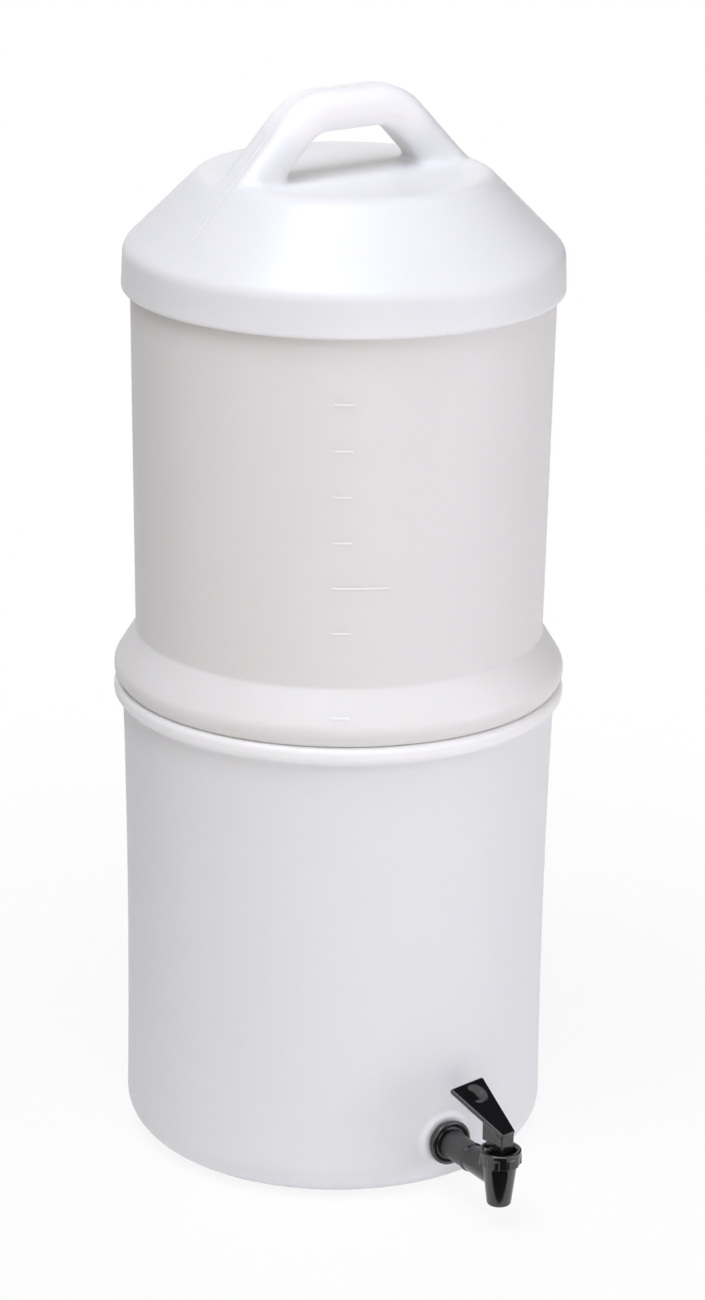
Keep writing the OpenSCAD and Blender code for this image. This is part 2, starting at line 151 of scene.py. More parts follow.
class Finish:
    """A procedural material around one Principled shader. Its constant sockets are set at the start."""

    def __init__(self, name, **constants):
        self.material = bpy.data.materials.new(name)
        self.material.use_nodes = True
        self.tree = self.material.node_tree
        self.surface = self.tree.nodes["Principled BSDF"]
        for socket, value in constants.items():
            self.surface.inputs[socket.replace("_", " ")].default_value = value

    def node(self, kind, settings, inputs, output=0):
        """Adds a node: its settings first, then the values or wires of its inputs by name or number."""
        made = self.tree.nodes.new(kind)
        for key, value in settings.items():
            setattr(made, key, value)
        named = inputs.items() if isinstance(inputs, dict) else enumerate(inputs)
        for key, value in named:
            if isinstance(value, Wire):
                self.tree.links.new(value.socket, made.inputs[key])
            else:
                made.inputs[key].default_value = value
        return Wire(self, made.outputs[output])

    def place(self, stretch=(1, 1, 1)):
        """Object coordinates in metres, stretched along the axes."""
        coords = self.node("ShaderNodeTexCoord", {}, {}, "Object")
        return self.node("ShaderNodeVectorMath", {"operation": "MULTIPLY"}, (coords, stretch))

    def noise(self, scale, detail=2, stretch=(1, 1, 1)):
        """Cloudy noise around 0.5, with features of about 1 / scale metres."""
        inputs = {"Vector": self.place(stretch), "Scale": scale, "Detail": detail}
        return self.node("ShaderNodeTexNoise", {}, inputs, "Fac")

    def blend(self, share, first, second):
        """A colour that goes from first to second as share goes from 0 to 1."""
        mix = {"Factor": share, 6: (*first, 1), 7: (*second, 1)}
        return self.node("ShaderNodeMix", {"data_type": "RGBA"}, mix, 2)

    def span(self, value, start, end):
        """0 below start, 1 above end and smooth between."""
        inputs = {"Value": value, "From Min": start, "From Max": end}
        return self.node("ShaderNodeMapRange", {"interpolation_type": "SMOOTHSTEP"}, inputs)

    def feed(self, socket, wire):
        self.tree.links.new(wire.socket, self.surface.inputs[socket])

    def skin(self, share, first, second, roughness, height, depth, strength=0.5):
        """A colour blend, a roughness, and a height from 0 to 1 that tilts the surface as a relief of
        depth metres would."""
        self.feed("Base Color", self.blend(share, first, second))
        self.feed("Roughness", roughness)
        inputs = {"Strength": strength, "Distance": depth, "Height": height}
        self.feed("Normal", self.node("ShaderNodeBump", {}, inputs))
        return self


def shader_mix(tree, share, first, second, output):
    """Sends a mix of two shaders to an output's surface: first at a share of 0, second at 1."""
    mix = tree.nodes.new("ShaderNodeMixShader")
    for socket, term in zip(mix.inputs, (share, first.outputs[0], second.outputs[0])):
        tree.links.new(term, socket)
    tree.links.new(mix.outputs[0], tree.nodes[output].inputs["Surface"])


# %% [markdown]
# ## Floor and light
# The picture has a plain white ground. The floor and the sky send white to the camera and to gloss,
# while the object itself is lit at a plain level by a pale warm sky and large soft lamps: a cool one
# above, one on the right, a weak one low in front and one behind for the far side. A small far lamp
# sets sparkles on the tap. Black cards shape the light as in a studio, and each is seen by one kind of
# ray alone: three by gloss, which give the black tap its dark middle between bright edges, and one on
# the left by diffuse light, which lets the white tanks fall off to a darker edge there.

# %% Floor, sky and lamps
FLOOR_SIZE = 12
SKY_LEVEL = 0.36
SKY_COLOUR = (1.0, 0.90, 0.77)
SHADOW_SHARE = 0.12
SHADOW_REACH = (0.15, 0.9)
TAP_MIDDLE = Vector((0, -0.185, 0.048))
TAP_TO_FLOOR = 0.047
PLATE_SKY = Vector((0.80, 0.25, 0.53)).normalized()
RAY_KINDS = ("camera", "diffuse", "glossy", "transmission", "volume_scatter", "shadow")


def white_to_the_eye(tree):
    """1 for camera, glossy and transmission rays and 0 for the rest, from the light path."""
    path = tree.nodes.new("ShaderNodeLightPath")
    rays = [path.outputs[f"Is {kind} Ray"] for kind in ("Camera", "Glossy", "Transmission")]
    total = rays[0]
    for ray in rays[1:]:
        either = tree.nodes.new("ShaderNodeMath")
        either.operation = "MAXIMUM"
        tree.links.new(total, either.inputs[0])
        tree.links.new(ray, either.inputs[1])
        total = either.outputs[0]
    return total


def pale_sky():
    world = bpy.data.worlds.new("sky")
    scene.world = world
    world.use_nodes = True
    tree = world.node_tree
    sky = tree.nodes["Background"]
    sky.inputs["Color"].default_value = (*SKY_COLOUR, 1)
    sky.inputs["Strength"].default_value = SKY_LEVEL
    white = tree.nodes.new("ShaderNodeBackground")
    white.inputs["Color"].default_value = (1, 1, 1, 1)
    shader_mix(tree, white_to_the_eye(tree), sky, white, "World Output")


def flat_sheet(name, centre, across, along):
    """A rectangle from its centre and its two half sides, as one face."""
    centre, across, along = Vector(centre), Vector(across), Vector(along)
    corners = [centre + across * i + along * j for i, j in ((-1, -1), (1, -1), (1, 1), (-1, 1))]
    mesh = bpy.data.meshes.new(name)
    mesh.from_pydata([tuple(c) for c in corners], [], [(0, 1, 2, 3)])
    sheet = bpy.data.objects.new(name, mesh)
    scene.collection.objects.link(sheet)
    return sheet


def pale_floor():
    """White to the eye, apart from a share near the object that shows its soft shadow."""
    half = FLOOR_SIZE / 2
    floor = flat_sheet("floor", (0, 0, -0.0004), (half, 0, 0), (0, half, 0))
    finish = Finish("floor_white", Base_Color=(0.94, 0.94, 0.96, 1), Roughness=0.9)
    tree = finish.tree
    glow = tree.nodes.new("ShaderNodeEmission")
    glow.inputs["Strength"].default_value = 1
    away = finish.node("ShaderNodeVectorMath", {"operation": "LENGTH"}, (finish.place(),), "Value")
    near = SHADOW_SHARE * (1 - finish.span(away, *SHADOW_REACH))
    eye = Wire(finish, white_to_the_eye(tree))
    shader_mix(tree, (eye * (1 - near)).socket, finish.surface, glow, "Material Output")
    floor.data.materials.append(finish.material)


def soft_lamp(name, place, target, size, watts, colour, in_gloss=True):
    """A square area lamp at place that looks at target. One that isn't in the gloss sets no highlight."""
    light = bpy.data.lights.new(name, "AREA")
    light.size = size
    light.energy = watts
    light.color = colour
    lamp = bpy.data.objects.new(name, light)
    lamp.location = place
    lamp.rotation_euler = (Vector(target) - Vector(place)).to_track_quat("-Z", "Y").to_euler()
    lamp.visible_glossy = in_gloss
    scene.collection.objects.link(lamp)


def black_card(name, seen_by, centre, across, along):
    """A black sheet that only one kind of ray meets. Glossy rays find a dark reflection there, and
    diffuse rays find less of the sky. It shows nowhere else and casts no shadow."""
    sheet = flat_sheet(name, centre, across, along)
    finish = Finish(name, Base_Color=(0, 0, 0, 1), Roughness=1.0, Specular_IOR_Level=0.0)
    sheet.data.materials.append(finish.material)
    for kind in RAY_KINDS:
        setattr(sheet, "visible_" + kind, kind == seen_by)


def seen_from_camera(right, up, forward):
    """A point by its offsets from the object's middle along the camera's level axes."""
    level_right = Vector((cam_right.x, cam_right.y, 0)).normalized()
    level_forward = Vector((cam_forward.x, cam_forward.y, 0)).normalized()
    return level_right * right + level_forward * forward + Vector((0, 0, up))


def studio():
    """Places are right, up and forward of the object; targets lie on its axis or at the tap."""
    pale_sky()
    pale_floor()
    seen = seen_from_camera
    soft_lamp("lamp_above", seen(-0.3, 2.3, -0.9), (0, 0, 0.45), 1.5, 30, (0.83, 0.87, 1))
    soft_lamp("lamp_right", seen(1.9, 0.5, -0.8), (0, 0, 0.2), 1.0, 9.2, (0.80, 0.83, 1))
    soft_lamp("lamp_low", seen(0.5, 0.15, -1.6), (0, 0, 0.1), 0.8, 5.4, (1, 0.97, 0.92))
    soft_lamp("lamp_behind", seen(0.2, 0.3, 2.0), (0, 0, 0.3), 1.0, 8, (0.95, 0.97, 1), in_gloss=False)
    soft_lamp("lamp_sparkle", seen(-0.5, 1.9, -0.5), TAP_MIDDLE, 0.2, 3, (1, 1, 1))
    right, ahead = seen(1, 0, 0), seen(0, 0, 1)
    low = TAP_MIDDLE - ahead * 0.1 - Vector((0, 0, TAP_TO_FLOOR))
    side = PLATE_SKY.cross(Vector((0, 0, 1))).normalized()
    black_card("screen_front", "glossy", seen(0.1, 0.6, -3.2), right * 0.75, (0, 0, 1.2))
    black_card("screen_low", "glossy", low, right * 0.05, ahead * 0.07)
    black_card("screen_high", "glossy", TAP_MIDDLE + PLATE_SKY * 1.5, side * 0.75,
               PLATE_SKY.cross(side) * 0.75)
    black_card("card_left", "diffuse", seen(-0.55, 0.47, 0.3), ahead * 0.4, (0, 0, 0.32))


studio()
scene.view_settings.view_transform = "Standard"

# %% [markdown]
# ## Surfaces as grids
# Most of this object is turned: a profile of radius and height swept round an axis. Two parameters,
# the place along the profile and the angle, give every point at once as whole arrays. Corners of the
# profile are given with a radius and become arcs, as a moulded edge has.

# %% Turned shapes


def rounded(corners, step=9.0):
    """An outline from corners (x, y, radius). A corner with a radius becomes the arc that touches both
    of its edges: its centre lies on the bisector at radius / sin(half the angle) from the corner."""
    corners = np.array(corners, float)
    points = []
    for i, (x, y, radius) in enumerate(corners):
        here = np.array([x, y])
        if radius <= 0:
            points.append(here)
            continue
        back = corners[i - 1, :2] - here
        on = corners[(i + 1) % len(corners), :2] - here
        back, on = back / np.hypot(*back), on / np.hypot(*on)
        half = np.arccos(np.clip(back @ on, -1, 1)) / 2
        middle = here + (back + on) / np.hypot(*(back + on)) * radius / np.sin(half)
        start = here + back * radius / np.tan(half) - middle
        end = here + on * radius / np.tan(half) - middle
        turn = np.arctan2(start[0] * end[1] - start[1] * end[0], start @ end)
        count = int(abs(np.degrees(turn)) / step) + 2
        angles = np.arctan2(start[1], start[0]) + np.linspace(0, turn, count)
        points.extend(middle + radius * np.stack([np.cos(angles), np.sin(angles)], 1))
    return np.array(points)


def spaced(outline, step):
    """The outline with points added on its straight stretches, so that none is longer than step."""
    legs = np.diff(outline, axis=0)
    counts = np.maximum(1, np.ceil(np.hypot(legs[:, 0], legs[:, 1]) / step)).astype(int)
    first = np.repeat(np.cumsum(counts) - counts, counts)
    share = (np.arange(counts.sum()) - first) / np.repeat(counts, counts)
    points = np.repeat(outline[:-1], counts, axis=0) + share[:, None] * np.repeat(legs, counts, axis=0)
    return np.vstack([points, outline[-1:]])


def full_turn(count):
    return np.linspace(0, 2 * np.pi, count, endpoint=False)


def grid_quads(rows, columns, close_rows=False):
    """Four corner numbers for each cell of a grid whose columns close on themselves."""
    i = np.arange(rows if close_rows else rows - 1)[:, None]
    j = np.arange(columns)[None, :]
    i_next, j_next = (i + 1) % rows, (j + 1) % columns
    corners = [i * columns + j, i * columns + j_next, i_next * columns + j_next, i_next * columns + j]
    return np.stack([np.broadcast_to(c, (i.size, columns)) for c in corners], -1).reshape(-1, 4)


def closed_ends(points, poles):
    """A grid of rows and columns of x, y, z whose first and last rows are closed by a fan each, to the
    first and the last pole."""
    rows, columns = points.shape[:2]
    j = np.arange(columns)
    j_next = (j + 1) % columns
    first_pole, last = rows * columns, (rows - 1) * columns
    return np.vstack([points.reshape(-1, 3), poles]), [
        grid_quads(rows, columns),
        np.stack([np.full_like(j, first_pole), j_next, j], 1),
        np.stack([last + j, last + j_next, np.full_like(j, first_pole + 1)], 1),
    ]


def turned(profile, angles, shape=None):
    """Sweeps a profile of (radius, height) round Z: x = r cos a, y = r sin a, z = h. A profile that ends
    on the axis gets a single point there, and any other profile is closed into a ring. shape may move
    the points, given as an array of rows, columns and x, y, z."""
    profile = np.asarray(profile, float)
    on_axis = profile[0, 0] < 1e-9
    rows = profile[1:-1] if on_axis else profile
    points = np.stack([
        rows[:, :1] * np.cos(angles), rows[:, :1] * np.sin(angles),
        np.repeat(rows[:, 1:], len(angles), axis=1),
    ], -1)
    if shape is not None:
        points = shape(points)
    if on_axis:
        return closed_ends(points, [[0, 0, profile[0, 1]], [0, 0, profile[-1, 1]]])
    return points.reshape(-1, 3), [grid_quads(*points.shape[:2], close_rows=True)]


def joined(*shapes):
    """Several shapes as one: the face numbers of each are moved on past the points before it."""
    points, faces, start = [], [], 0
    for part_points, part_faces in shapes:
        points.append(part_points)
        faces.extend(f + start for f in part_faces)
        start += len(part_points)
    return np.vstack(points), faces


def mesh_piece(name, shape, body, finish, nodes=(), sharp=35, normals=None, bend=None):
    """Puts points in millimetres and faces into a mesh object that rides on a body. Edges that turn by
    more than sharp degrees stay crisp, unless normals are given. A piece with a bend rides on no body:
    its place is baked into its mesh. bend holds a body and two points, which are not used."""
    points, faces = shape
    corners = np.concatenate([f.ravel() for f in faces]).astype(np.int32)
    sizes = np.concatenate([np.full(len(f), f.shape[1]) for f in faces])
    mesh = bpy.data.meshes.new(name)
    mesh.vertices.add(len(points))
    mesh.vertices.foreach_set("co", (points * MM).astype(np.float32).ravel())
    mesh.loops.add(len(corners))
    mesh.loops.foreach_set("vertex_index", corners)
    mesh.polygons.add(len(sizes))
    mesh.polygons.foreach_set("loop_start", (np.cumsum(sizes) - sizes).astype(np.int32))
    mesh.polygons.foreach_set("use_smooth", np.ones(len(sizes), bool))
    mesh.update(calc_edges=True)
    if normals is None:
        mesh.set_sharp_from_angle(angle=np.radians(sharp))
    else:
        mesh.normals_split_custom_set_from_vertices(normals)
    mesh.materials.append(finish.material)
    piece = bpy.data.objects.new(name, mesh)
    scene.collection.objects.link(piece)
    if bend is None:
        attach(piece, body)
    else:
        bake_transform(piece)
    if nodes:
        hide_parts(*nodes)
    print(f"{name}: {len(points)} points, {len(sizes)} faces")


# %% [markdown]
# ## Moulded shapes as fields
# A grip that grows out of a lid has no simple grid. It is easier to say, for any point in space, how far
# it is from the skin: less than 0 inside, more outside. The smaller of two such distances joins two
# solids, and a softened smaller-of-two gives the hollow blend that a mould leaves between them. The
# skin is then found on a lattice, one point for each cell that it crosses, and each point is moved down
# the slope of the field until it lies on the skin itself.

# %% Moulded shapes


def soft_max(a, b, width):
    """The larger of two distances, rounded where they differ by less than width: the edge of a solid."""
    share = np.clip(0.5 + 0.5 * (a - b) / width, 0, 1)
    return b + (a - b) * share + width * share * (1 - share)


def soft_min(a, b, width):
    """The smaller of two distances, blended where they differ by less than width."""
    return -soft_max(-a, -b, width)


def slope(field, points, reach=0.02):
    """The field's gradient by differences over twice the reach along each axis."""
    steps = np.eye(3) * reach
    return np.stack([(field(points + s) - field(points - s)) / (2 * reach) for s in steps], -1)


def cell_beside(edges, back_e, back_f):
    """The cells on one side of lattice edges: each edge runs along an axis from (a, b, c), and the cell
    may lie one step back along the second and the third axis."""
    axis, e, f, a, b, c = edges
    cell = np.empty((len(a), 3), int)
    cell[:, axis], cell[:, e], cell[:, f] = a, b - back_e, c - back_f
    return cell


def lattice_skin(values, low, pitch):
    """One point for each lattice cell that the skin crosses, the mean of its crossings on the cell's
    edges, and a quad for each lattice edge that it crosses, turned so that it faces outwards."""
    cells = tuple(n - 1 for n in values.shape)
    total, count = np.zeros(cells + (3,)), np.zeros(cells)
    around = ((1, 1), (0, 1), (0, 0), (1, 0))
    crossings, quads = [], []
    for axis in range(3):
        e, f = (axis + 1) % 3, (axis + 2) % 3
        v = values.transpose(axis, e, f)
        inside = v < 0
        a, b, c = np.nonzero(inside[:-1] != inside[1:])
        at = np.empty((len(a), 3))
        at[:, axis], at[:, e], at[:, f] = a + v[a, b, c] / (v[a, b, c] - v[a + 1, b, c]), b, c
        edges = (axis, e, f, a, b, c)
        crossings.append((edges, inside[a, b, c]))
        for back in sorted(around):
            cell = cell_beside(edges, *back)
            good = ((cell >= 0) & (cell < cells)).all(1)
            np.add.at(total, tuple(cell[good].T), at[good])
            np.add.at(count, tuple(cell[good].T), 1)
    number = np.full(cells, -1)
    used = count > 0
    number[used] = np.arange(used.sum())
    points = np.array(low) + total[used] / count[used][:, None] * pitch
    for edges, outward in crossings:
        quad = np.stack([number[tuple(cell_beside(edges, *back).T)] for back in around], 1)
        quad[~outward] = quad[~outward][:, ::-1]
        quads.append(quad)
    return points, np.vstack(quads)


def settled(field, points, quads, rounds=3):
    """Evens the points out over the skin: each moves to the mean of its neighbours and then back on to
    the skin along the slope, by distance / slope."""
    for _ in range(rounds):
        total, count = np.zeros_like(points), np.zeros(len(points))
        for k in range(4):
            for other in (quads[:, (k + 1) % 4], quads[:, k - 1]):
                np.add.at(total, quads[:, k], points[other])
                np.add.at(count, quads[:, k], 1)
        points = points + 0.5 * (total / count[:, None] - points)
        for _ in range(2):
            gradient = slope(field, points)
            steep = np.maximum((gradient**2).sum(-1), 0.05)
            points = points - (field(points) / steep)[:, None] * gradient
    return points


def moulded(field, low, high, pitch):
    """The skin of a field inside a box, as a shape and its exact normals."""
    axes = [np.arange(a - 1.5 * pitch, b + 2 * pitch, pitch) for a, b in zip(low, high)]
    lattice = np.stack(np.meshgrid(*axes, indexing="ij"), -1)
    points, quads = lattice_skin(field(lattice), [a[0] for a in axes], pitch)
    points = settled(field, points, quads)
    normals = slope(field, points)
    normals /= np.maximum(np.linalg.norm(normals, axis=-1, keepdims=True), 1e-9)
    return (points, [quads]), normals


# %% [markdown]
# ## White plastic
# The tanks and the lid are blow moulded polyethylene: milky, satin, a little uneven. Light goes a short
# way into it, so the material scatters below its surface. A cloudy tone, faint upright flow lines and a
# fine grain in the bump keep it from looking like paint. The thin raised lines get the same finish
# without the scatter, which would lose its light in such small closed shapes.

# %% White plastic


def milky_plastic(name, colour, roughness, scatter=0.6):
    finish = Finish(
        name, IOR=1.5, Subsurface_Weight=scatter, Subsurface_Scale=0.009,
        Subsurface_Radius=(1.0, 0.9, 0.8),
    )
    cloud = finish.noise(14, detail=3)
    flow = finish.noise(30, detail=3, stretch=(1, 1, 0.06))
    grain = finish.noise(1400, detail=2)
    tone = 0.5 + 0.7 * (cloud - 0.5) + 0.5 * (flow - 0.5)
    darker = [c * 0.965 for c in colour]
    lighter = [min(1, c * 1.02) for c in colour]
    uneven = roughness + 0.1 * (cloud - 0.5) + 0.1 * (grain - 0.5)
    return finish.skin(tone, darker, lighter, uneven, 0.75 * grain + 0.25 * flow, 0.00008)


lid_white = milky_plastic("lid_white", (0.900, 0.900, 0.915), 0.40)
# The upper tank is the same plastic, but its colour is darker and warmer than the lid's and the lower
# tank's: painted warm shade, spread over the whole wall for the dim warm light at its left side.
upper_white_painted_shade = milky_plastic("upper_tank_white_painted_shade", (0.874, 0.845, 0.822), 0.45)
lower_white = milky_plastic("lower_tank_white", (0.940, 0.938, 0.947), 0.45)
rib_white = milky_plastic("rib_white", (0.880, 0.872, 0.872), 0.45, scatter=0.0)

# %% [markdown]
# ## The lower tank
# It holds the filtered water: a slightly bowed wall on a round foot, a stout bead round its mouth and a
# flat boss where the tap goes through. The profile is turned, with more rows and columns near the boss,
# and the wall's points there are moved out to a flat face with soft edges.

# %% Lower tank
WALL = 3.0
FOOT_ROUND = 23.0
FOOT_INSIDE = 19.0
BASE_R = 127.4
WALL_TOP_R = BASE_R + 2.3
WALL_BOW = 1.4
RIM_R = lower_high[0]
RIM_TOP = lower_high[2]
RIM_T = 7.6
MOUTH_R = WALL_TOP_R - WALL + 0.3
TAP_Z = 33.5
BOSS_R = 18.6
BOSS_EDGE = 4.2
BOSS_FACE = BASE_R + 1.2
BOSS_DEPTH = 16


def wall_radius(z):
    """A straight taper from the foot to the rim, drawn in by a parabola in the middle."""
    t = (z - FOOT_ROUND) / (RIM_TOP - RIM_T - FOOT_ROUND)
    return BASE_R + (WALL_TOP_R - BASE_R) * t - WALL_BOW * 4 * t * (1 - t)


def with_radius_zero(points):
    """Outline points as corners without rounding."""
    return np.column_stack([points, np.zeros(len(points))])


def lower_tank_profile():
    z_up = np.concatenate([np.arange(FOOT_ROUND + 1, 60, 1.0), np.arange(62, RIM_TOP - RIM_T - 2, 5.0)])
    z_down = np.arange(RIM_TOP - RIM_T - 6, FOOT_ROUND + 4, -8.0)
    outside = np.stack([wall_radius(z_up), z_up], 1)
    inside = np.stack([wall_radius(z_down) - WALL, z_down], 1)
    return rounded(np.vstack([
        [[0, 0, 0], [BASE_R, 0, FOOT_ROUND]],
        with_radius_zero(outside),
        [[RIM_R, RIM_TOP - RIM_T + 0.4, 2.9], [RIM_R, RIM_TOP, 3.6], [MOUTH_R, RIM_TOP, 1.2]],
        with_radius_zero(inside),
        [[BASE_R - WALL, WALL, FOOT_INSIDE], [0, WALL, 0]],
    ]), step=3)


def boss_angles():
    """Columns every 2.5 degrees, and every half degree within 13 degrees of the tap."""
    coarse = np.radians(np.arange(-90 + 15, 270 - 14, 2.5))
    fine = np.radians(np.arange(-90 - 13, -90 + 13.1, 0.5))
    return np.concatenate([fine, coarse])


def with_boss(points):
    """Near the tap's axis the outer wall moves out to the boss's face, by a share that falls smoothly
    from 1 to 0 across the boss's soft edge."""
    radius = np.hypot(points[..., 0], points[..., 1])
    away = np.hypot(points[..., 0], points[..., 2] - TAP_Z)
    share = np.clip((BOSS_R - away) / BOSS_EDGE, 0, 1)
    share = share * share * (3 - 2 * share)
    front = (points[..., 1] < 0) & (radius > BASE_R - WALL * 0.6 - BOSS_DEPTH) & (away < BOSS_R + 3)
    outer = np.arange(points.shape[0])[:, None] < OUTER_ROWS
    lift = np.where(front & outer, np.maximum(BOSS_FACE + points[..., 1], 0) * share, 0)
    grown = points.copy()
    grown[..., 1] -= lift
    return grown


lower_profile = lower_tank_profile()
OUTER_ROWS = int(np.argmax(lower_profile[:, 1])) - 1
mesh_piece(
    "lower_tank_shell", turned(lower_profile, boss_angles(), with_boss), "lower_tank",
    lower_white, ["lower_tank"], sharp=60,
)

# %% [markdown]
# ## The upper tank
# It holds the raw water. Below its shell a rounded collar covers the rim of the lower tank, and a spigot
# inside it keeps the tank from sliding off. Raised level lines run up the front. They are thin bars with
# a round back, carried along the curve of the wall.

# %% Upper tank
SPIGOT_R = MOUTH_R - 1
FLOOR_Z = upper_low[2]
SEAT_Z = RIM_TOP + 0.2
COLLAR_R = upper_high[0]
SHELL_R_LOW = 121.9
SHELL_R_TOP = 125.0
SHOULDER_Z = SEAT_Z + 12
SHOULDER_TOP = SEAT_Z + 32.4
LIP_R = 126.2
LIP_H = 7.5
UPPER_TOP = upper_high[2]
FLANK_TAN = np.tan(np.arctan2(COLLAR_R - SHELL_R_LOW, SHOULDER_TOP - SHOULDER_Z) / 2)


def upper_tank_profile():
    return spaced(rounded([
        [0, FLOOR_Z, 0], [SPIGOT_R, FLOOR_Z, 2], [SPIGOT_R, SEAT_Z, 0.6],
        [COLLAR_R - 3.7, SEAT_Z, 1.8], [COLLAR_R, SEAT_Z + 5.7, 9], [COLLAR_R, SHOULDER_Z, 10],
        [SHELL_R_LOW, SHOULDER_TOP, 4], [SHELL_R_TOP, UPPER_TOP - LIP_H, 0],
        [LIP_R, UPPER_TOP - LIP_H + 1.5, 0.5], [LIP_R, UPPER_TOP, 1.6],
        [SHELL_R_TOP - WALL, UPPER_TOP, 1], [SHELL_R_LOW - WALL, SHOULDER_TOP - WALL * FLANK_TAN, 3],
        [COLLAR_R - WALL, SHOULDER_Z - WALL * FLANK_TAN, 8], [COLLAR_R - WALL, SEAT_Z + WALL, 4],
        [SPIGOT_R - WALL, SEAT_Z + WALL, 1], [SPIGOT_R - WALL, FLOOR_Z + WALL, 4],
        [0, FLOOR_Z + WALL, 0],
    ], step=6), 8)


mesh_piece(
    "upper_tank_shell", turned(upper_tank_profile(), full_turn(192)), "upper_tank",
    upper_white_painted_shade, ["upper_tank"],
)

# %% Level lines
TICK_START = np.radians(-124.1)
TICK_TOP = UPPER_TOP - 62
TICK_STEP = 27
TICK_COUNT = 6
TICK_LENGTH = 11.5
LONG_TICK = 4
LONG_TICK_LENGTH = 34.0
TICK_PROUD = 0.18
TICK_HALF_HEIGHT = 0.7
COLLAR_TICK_Z = SHOULDER_Z + 5.6
FLANK_LEAN = (COLLAR_R - SHELL_R_LOW) / (SHOULDER_TOP - SHOULDER_Z)


def raised_line(radius, z, length, lean=0.0):
    """A bar along the wall: a half-round section, carried along an arc and drawn in to nothing at both
    ends. lean is how much the wall's radius falls for each millimetre up."""
    along = np.linspace(0, 1, 40)
    end = np.sqrt(np.clip(1 - (np.abs(2 * along - 1) - 0.94).clip(0) ** 2 / 0.06**2, 0, 1))
    around = full_turn(16)
    proud = TICK_PROUD * np.sin(around)[None, :] * end[:, None]
    up = TICK_HALF_HEIGHT * np.cos(around)[None, :] * end[:, None]
    r = radius + proud - lean * up
    angle = (TICK_START + along * length / radius)[:, None]
    points = np.stack([r * np.cos(angle), r * np.sin(angle), z + up + 0 * angle], -1)
    return points.reshape(-1, 3), [grid_quads(len(along), len(around))]


def shell_radius(z):
    return SHELL_R_LOW + (SHELL_R_TOP - SHELL_R_LOW) * (z - SHOULDER_TOP) / (
        UPPER_TOP - LIP_H - SHOULDER_TOP)


def level_lines():
    heights = [TICK_TOP - TICK_STEP * i for i in range(TICK_COUNT)]
    lengths = [LONG_TICK_LENGTH if i == LONG_TICK else TICK_LENGTH for i in range(TICK_COUNT)]
    lines = [raised_line(shell_radius(z), z, length) for z, length in zip(heights, lengths)]
    collar_radius = COLLAR_R - (COLLAR_TICK_Z - SHOULDER_Z) * FLANK_LEAN
    return joined(*lines, raised_line(collar_radius, COLLAR_TICK_Z, TICK_LENGTH, FLANK_LEAN))


mesh_piece("level_lines", level_lines(), "upper_tank", rib_white)

# %% [markdown]
# ## The lid
# One hollow moulding: skirt, cone, a slightly dished plateau and the grip, which rises from the cone at
# both sides. The skirt, cone and plateau are three distances that meet in rounded edges. The grip is a
# rounded bar carried along a line, two bends and two legs, and it is blended softly into the cone.

# %% Lid
SKIRT_Z = lid_low[2]
LID_EDGE_R = lid_high[0]
LID_R = LID_EDGE_R - 1
SKIRT_H = 25.2
SKIRT_TOP = SKIRT_Z + SKIRT_H
SKIRT_ROUND, PLATEAU_ROUND = 11, 12
SOFT_FOR_ROUND = 0.293
PLATEAU_R = 84.8
PLATEAU_Z = SKIRT_TOP + LID_R - PLATEAU_R
DISH_DEPTH, DISH_MARGIN, DISH_FADE = 1.2, 6, 14
GRIP_TOP = lid_high[2] - 0.35
GRIP_T, GRIP_W = 23.4, 28.4
GRIP_CORNER = 9.5
GRIP_TURN = np.radians(5.4)
GRIP_BEND = 31.0
GRIP_LINE = GRIP_TOP - GRIP_T / 2
LEG_SUM = LID_R + SKIRT_TOP - 0.6 - GRIP_T / 2 * np.sqrt(2)
BEND_U = LEG_SUM - GRIP_LINE - GRIP_BEND * np.tan(np.radians(22.5))
LEG_LENGTH, LEG_HOLLOW_FROM = 62.0, 8
GRIP_BLEND = 9.0
BLEND_END, BLEND_FADE = 87.0, 15.0
LOW_EDGE, HOLLOW_EDGE = 2.6, 0.8
LID_PITCH = 1.65


def lid_body(radius, z, inset):
    """Skirt, cone and dished plateau, each moved in by inset. A rounded edge of radius R between planes
    that turn by 45 degrees needs a softening of SOFT_FOR_ROUND times R."""
    skirt = radius - LID_EDGE_R + (z - SKIRT_Z) / SKIRT_H + inset
    cone = (radius + z - LID_R - SKIRT_TOP) / np.sqrt(2) + inset
    edge = np.clip((PLATEAU_R - DISH_MARGIN - radius) / DISH_FADE, 0, 1)
    plateau = z - PLATEAU_Z + DISH_DEPTH * edge * edge * (3 - 2 * edge) + inset
    side = soft_max(skirt, cone, SOFT_FOR_ROUND * (SKIRT_ROUND - inset))
    return soft_max(side, plateau, SOFT_FOR_ROUND * (PLATEAU_ROUND - inset))


def grip_coordinates(points):
    """Along the grip, across it, and up, after the grip's own turn about Z."""
    u = points[..., 0] * np.cos(GRIP_TURN) + points[..., 1] * np.sin(GRIP_TURN)
    v = points[..., 1] * np.cos(GRIP_TURN) - points[..., 0] * np.sin(GRIP_TURN)
    return u, v, points[..., 2]


def grip_section(outward, across, inset):
    """A rounded rectangle: the distance to a smaller one, less the corner radius."""
    corner = GRIP_CORNER - inset
    a = np.abs(outward) - (GRIP_T / 2 - GRIP_CORNER)
    b = np.abs(across) - (GRIP_W / 2 - GRIP_CORNER)
    outside = np.sqrt(np.maximum(a, 0) ** 2 + np.maximum(b, 0) ** 2)
    return outside + np.minimum(np.maximum(a, b), 0) - corner


